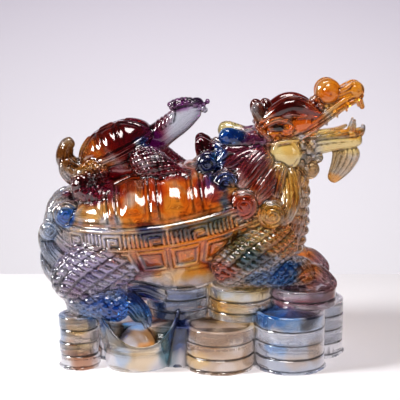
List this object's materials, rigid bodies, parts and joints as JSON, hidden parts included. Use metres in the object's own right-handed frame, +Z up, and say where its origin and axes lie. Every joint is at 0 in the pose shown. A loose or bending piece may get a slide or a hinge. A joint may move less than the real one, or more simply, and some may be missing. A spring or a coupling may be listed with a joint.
{
  "type": "dragon turtle figure",
  "caption": "Cast glass dragon turtle carrying a small tortoise, its paws on stacks of coins and a boat-shaped ingot, standing on a flat underside.",
  "frame": {"origin": "middle of the flat underside, on the surface that the figure stands on", "axes": "+Z up, +X along the figure towards the dragon's head, +Y towards its left side"},
  "size_m": [0.1951, 0.0988, 0.1672],
  "materials": {
    "amber_glass": "polished cast glass, clear grey at the base, with amber, dark red, violet and blue running through it"
  },
  "bodies": {
    "root": {"dragon_turtle": "amber_glass"}
  },
  "joints": []
}
